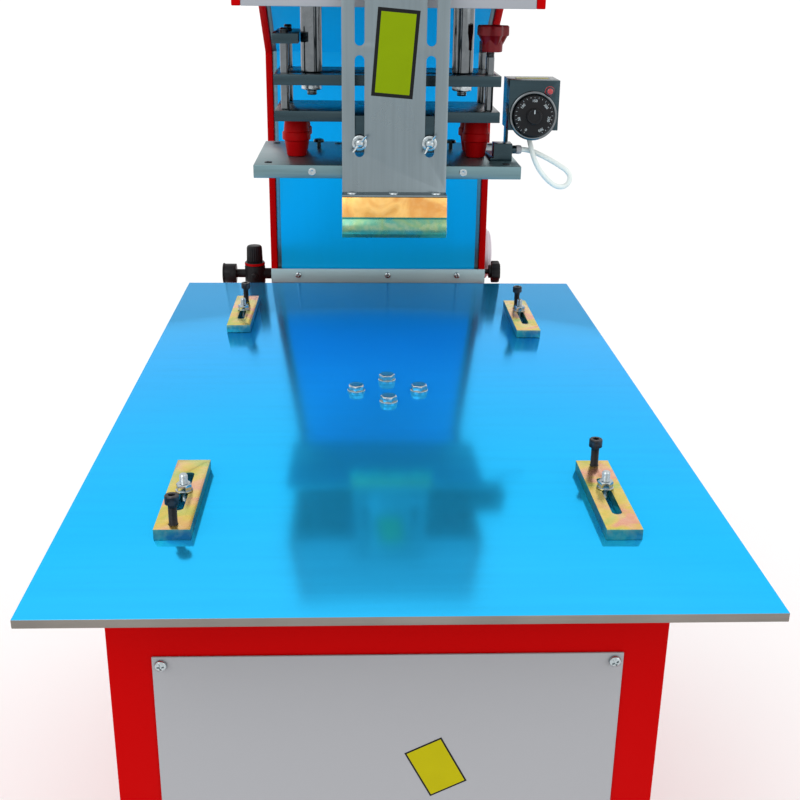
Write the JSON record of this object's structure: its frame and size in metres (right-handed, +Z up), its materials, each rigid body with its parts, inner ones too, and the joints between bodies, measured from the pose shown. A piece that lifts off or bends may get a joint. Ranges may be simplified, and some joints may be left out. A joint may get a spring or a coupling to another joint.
{
  "type": "hot foil stamping machine",
  "caption": "Pneumatic hot foil stamper with a C-frame press head, heated plate, foil guide sheet, wide worktable with slotted clamps, and a sheet-metal base cabinet.",
  "frame": {"origin": "on the floor, under the middle of the machine's footprint", "axes": "+Z up, -Y towards the operator, +X to the operator's right"},
  "size_m": [0.6, 1.23, 1.48],
  "materials": {
    "aluminium": "brushed",
    "black_oxide": "black oxide",
    "black_plastic": "matt",
    "blue_film": "glossy protective film over aluminium",
    "chrome": "polished",
    "pale_grey": "satin",
    "red_paint": "gloss powder coat",
    "red_plastic": "matt",
    "steel": "milled",
    "white_paint": "satin powder coat",
    "white_sleeve": "woven glass sleeve",
    "zinc": "iridescent yellow zinc plating"
  },
  "bodies": {
    "machine": {"cabinet_left_wall": "red_paint", "cabinet_right_wall": "red_paint", "cabinet_top": "red_paint", "cabinet_floor": "red_paint", "cabinet_rear_panel": "red_paint", "cabinet_front_panel": "white_paint", "foot_front_left": "black_oxide", "foot_front_right": "black_oxide", "foot_rear_left": "black_oxide", "foot_rear_right": "black_oxide", "frame_plate_left": "red_paint", "frame_plate_right": "red_paint", "column_front_panel": "blue_film", "column_rear_cover": "white_paint", "column_base_strip": "aluminium", "head_cover": "white_paint", "head_guide_plate": "steel", "air_cylinder": "aluminium", "table_pedestal": "steel", "table_plate": "blue_film", "clamp_stud_front_left": "steel", "clamp_stud_front_right": "steel", "clamp_stud_back_left": "steel", "clamp_stud_back_right": "steel", "air_regulator": "black_plastic", "side_cover": "pale_grey"},
    "stamping_head": {"piston_rod": "chrome", "guide_pillar_left": "chrome", "guide_pillar_right": "chrome", "upper_plate": "steel", "lower_plate": "steel", "heater_plate": "aluminium", "tie_plate": "steel", "tie_rod_left_front": "steel", "tie_rod_left_back": "steel", "tie_rod_right_front": "steel", "tie_rod_right_back": "steel", "insulator_left_front": "red_plastic", "insulator_left_back": "red_plastic", "insulator_right_front": "red_plastic", "insulator_right_back": "red_plastic", "thermostat_box": "steel", "heater_terminal": "steel", "heater_lead": "white_sleeve"},
    "guide_sheet": {"foil_guide_sheet": "aluminium", "foil_guide_lip": "zinc"},
    "wing_left": {"wing_screw_left": "chrome"},
    "wing_right": {"wing_screw_right": "chrome"},
    "star": {"star_knob": "red_plastic"},
    "dial": {"thermostat_dial": "black_plastic"},
    "regulator_cap": {"regulator_knob": "black_plastic"},
    "side_turn": {"side_knob": "black_plastic"},
    "clamp_front_left": {"clamp_bar_front_left": "zinc", "clamp_jack_screw_front_left": "black_oxide"},
    "clamp_front_right": {"clamp_bar_front_right": "zinc", "clamp_jack_screw_front_right": "black_oxide"},
    "clamp_back_left": {"clamp_bar_back_left": "zinc", "clamp_jack_screw_back_left": "black_oxide"},
    "clamp_back_right": {"clamp_bar_back_right": "zinc", "clamp_jack_screw_back_right": "black_oxide"}
  },
  "joints": [
    {"name": "head_stroke", "type": "slide", "parent": "machine", "child": "stamping_head", "axis": [0, 0, -1], "range_m": [0, 0.1], "stiffness_N_per_m": 2000, "springref_m": -0.2},
    {"name": "guide_sheet_slide", "type": "slide", "parent": "stamping_head", "child": "guide_sheet", "axis": [0, 0, 1], "range_m": [-0.05, 0.01]},
    {"name": "wing_screw_left_turn", "type": "hinge", "parent": "stamping_head", "child": "wing_left", "pos_m": [-0.033, -0.054, 1.08], "axis": [0, -1, 0], "continuous": true},
    {"name": "wing_screw_right_turn", "type": "hinge", "parent": "stamping_head", "child": "wing_right", "pos_m": [0.047, -0.054, 1.08], "axis": [0, -1, 0], "continuous": true},
    {"name": "star_knob_turn", "type": "hinge", "parent": "stamping_head", "child": "star", "pos_m": [0.12, 0.008, 1.19], "axis": [0, 0, 1], "continuous": true},
    {"name": "thermostat_dial_turn", "type": "hinge", "parent": "stamping_head", "child": "dial", "pos_m": [0.171, -0.01, 1.107], "axis": [0, -1, 0], "range_deg": [0, 270]},
    {"name": "regulator_knob_turn", "type": "hinge", "parent": "machine", "child": "regulator_cap", "pos_m": [-0.206, 0.5, 0.82], "axis": [0, 0, 1], "continuous": true},
    {"name": "side_knob_turn", "type": "hinge", "parent": "machine", "child": "side_turn", "pos_m": [0.19, 0.458, 0.801], "axis": [1, 0, 0], "continuous": true},
    {"name": "clamp_front_left_slide", "type": "slide", "parent": "machine", "child": "clamp_front_left", "axis": [0, 1, 0], "range_m": [-0.035, 0.035]},
    {"name": "clamp_front_right_slide", "type": "slide", "parent": "machine", "child": "clamp_front_right", "axis": [0, 1, 0], "range_m": [-0.015, 0.045]},
    {"name": "clamp_back_left_slide", "type": "slide", "parent": "machine", "child": "clamp_back_left", "axis": [0, 1, 0], "range_m": [-0.028, 0.038]},
    {"name": "clamp_back_right_slide", "type": "slide", "parent": "machine", "child": "clamp_back_right", "axis": [0, 1, 0], "range_m": [-0.008, 0.058]}
  ]
}
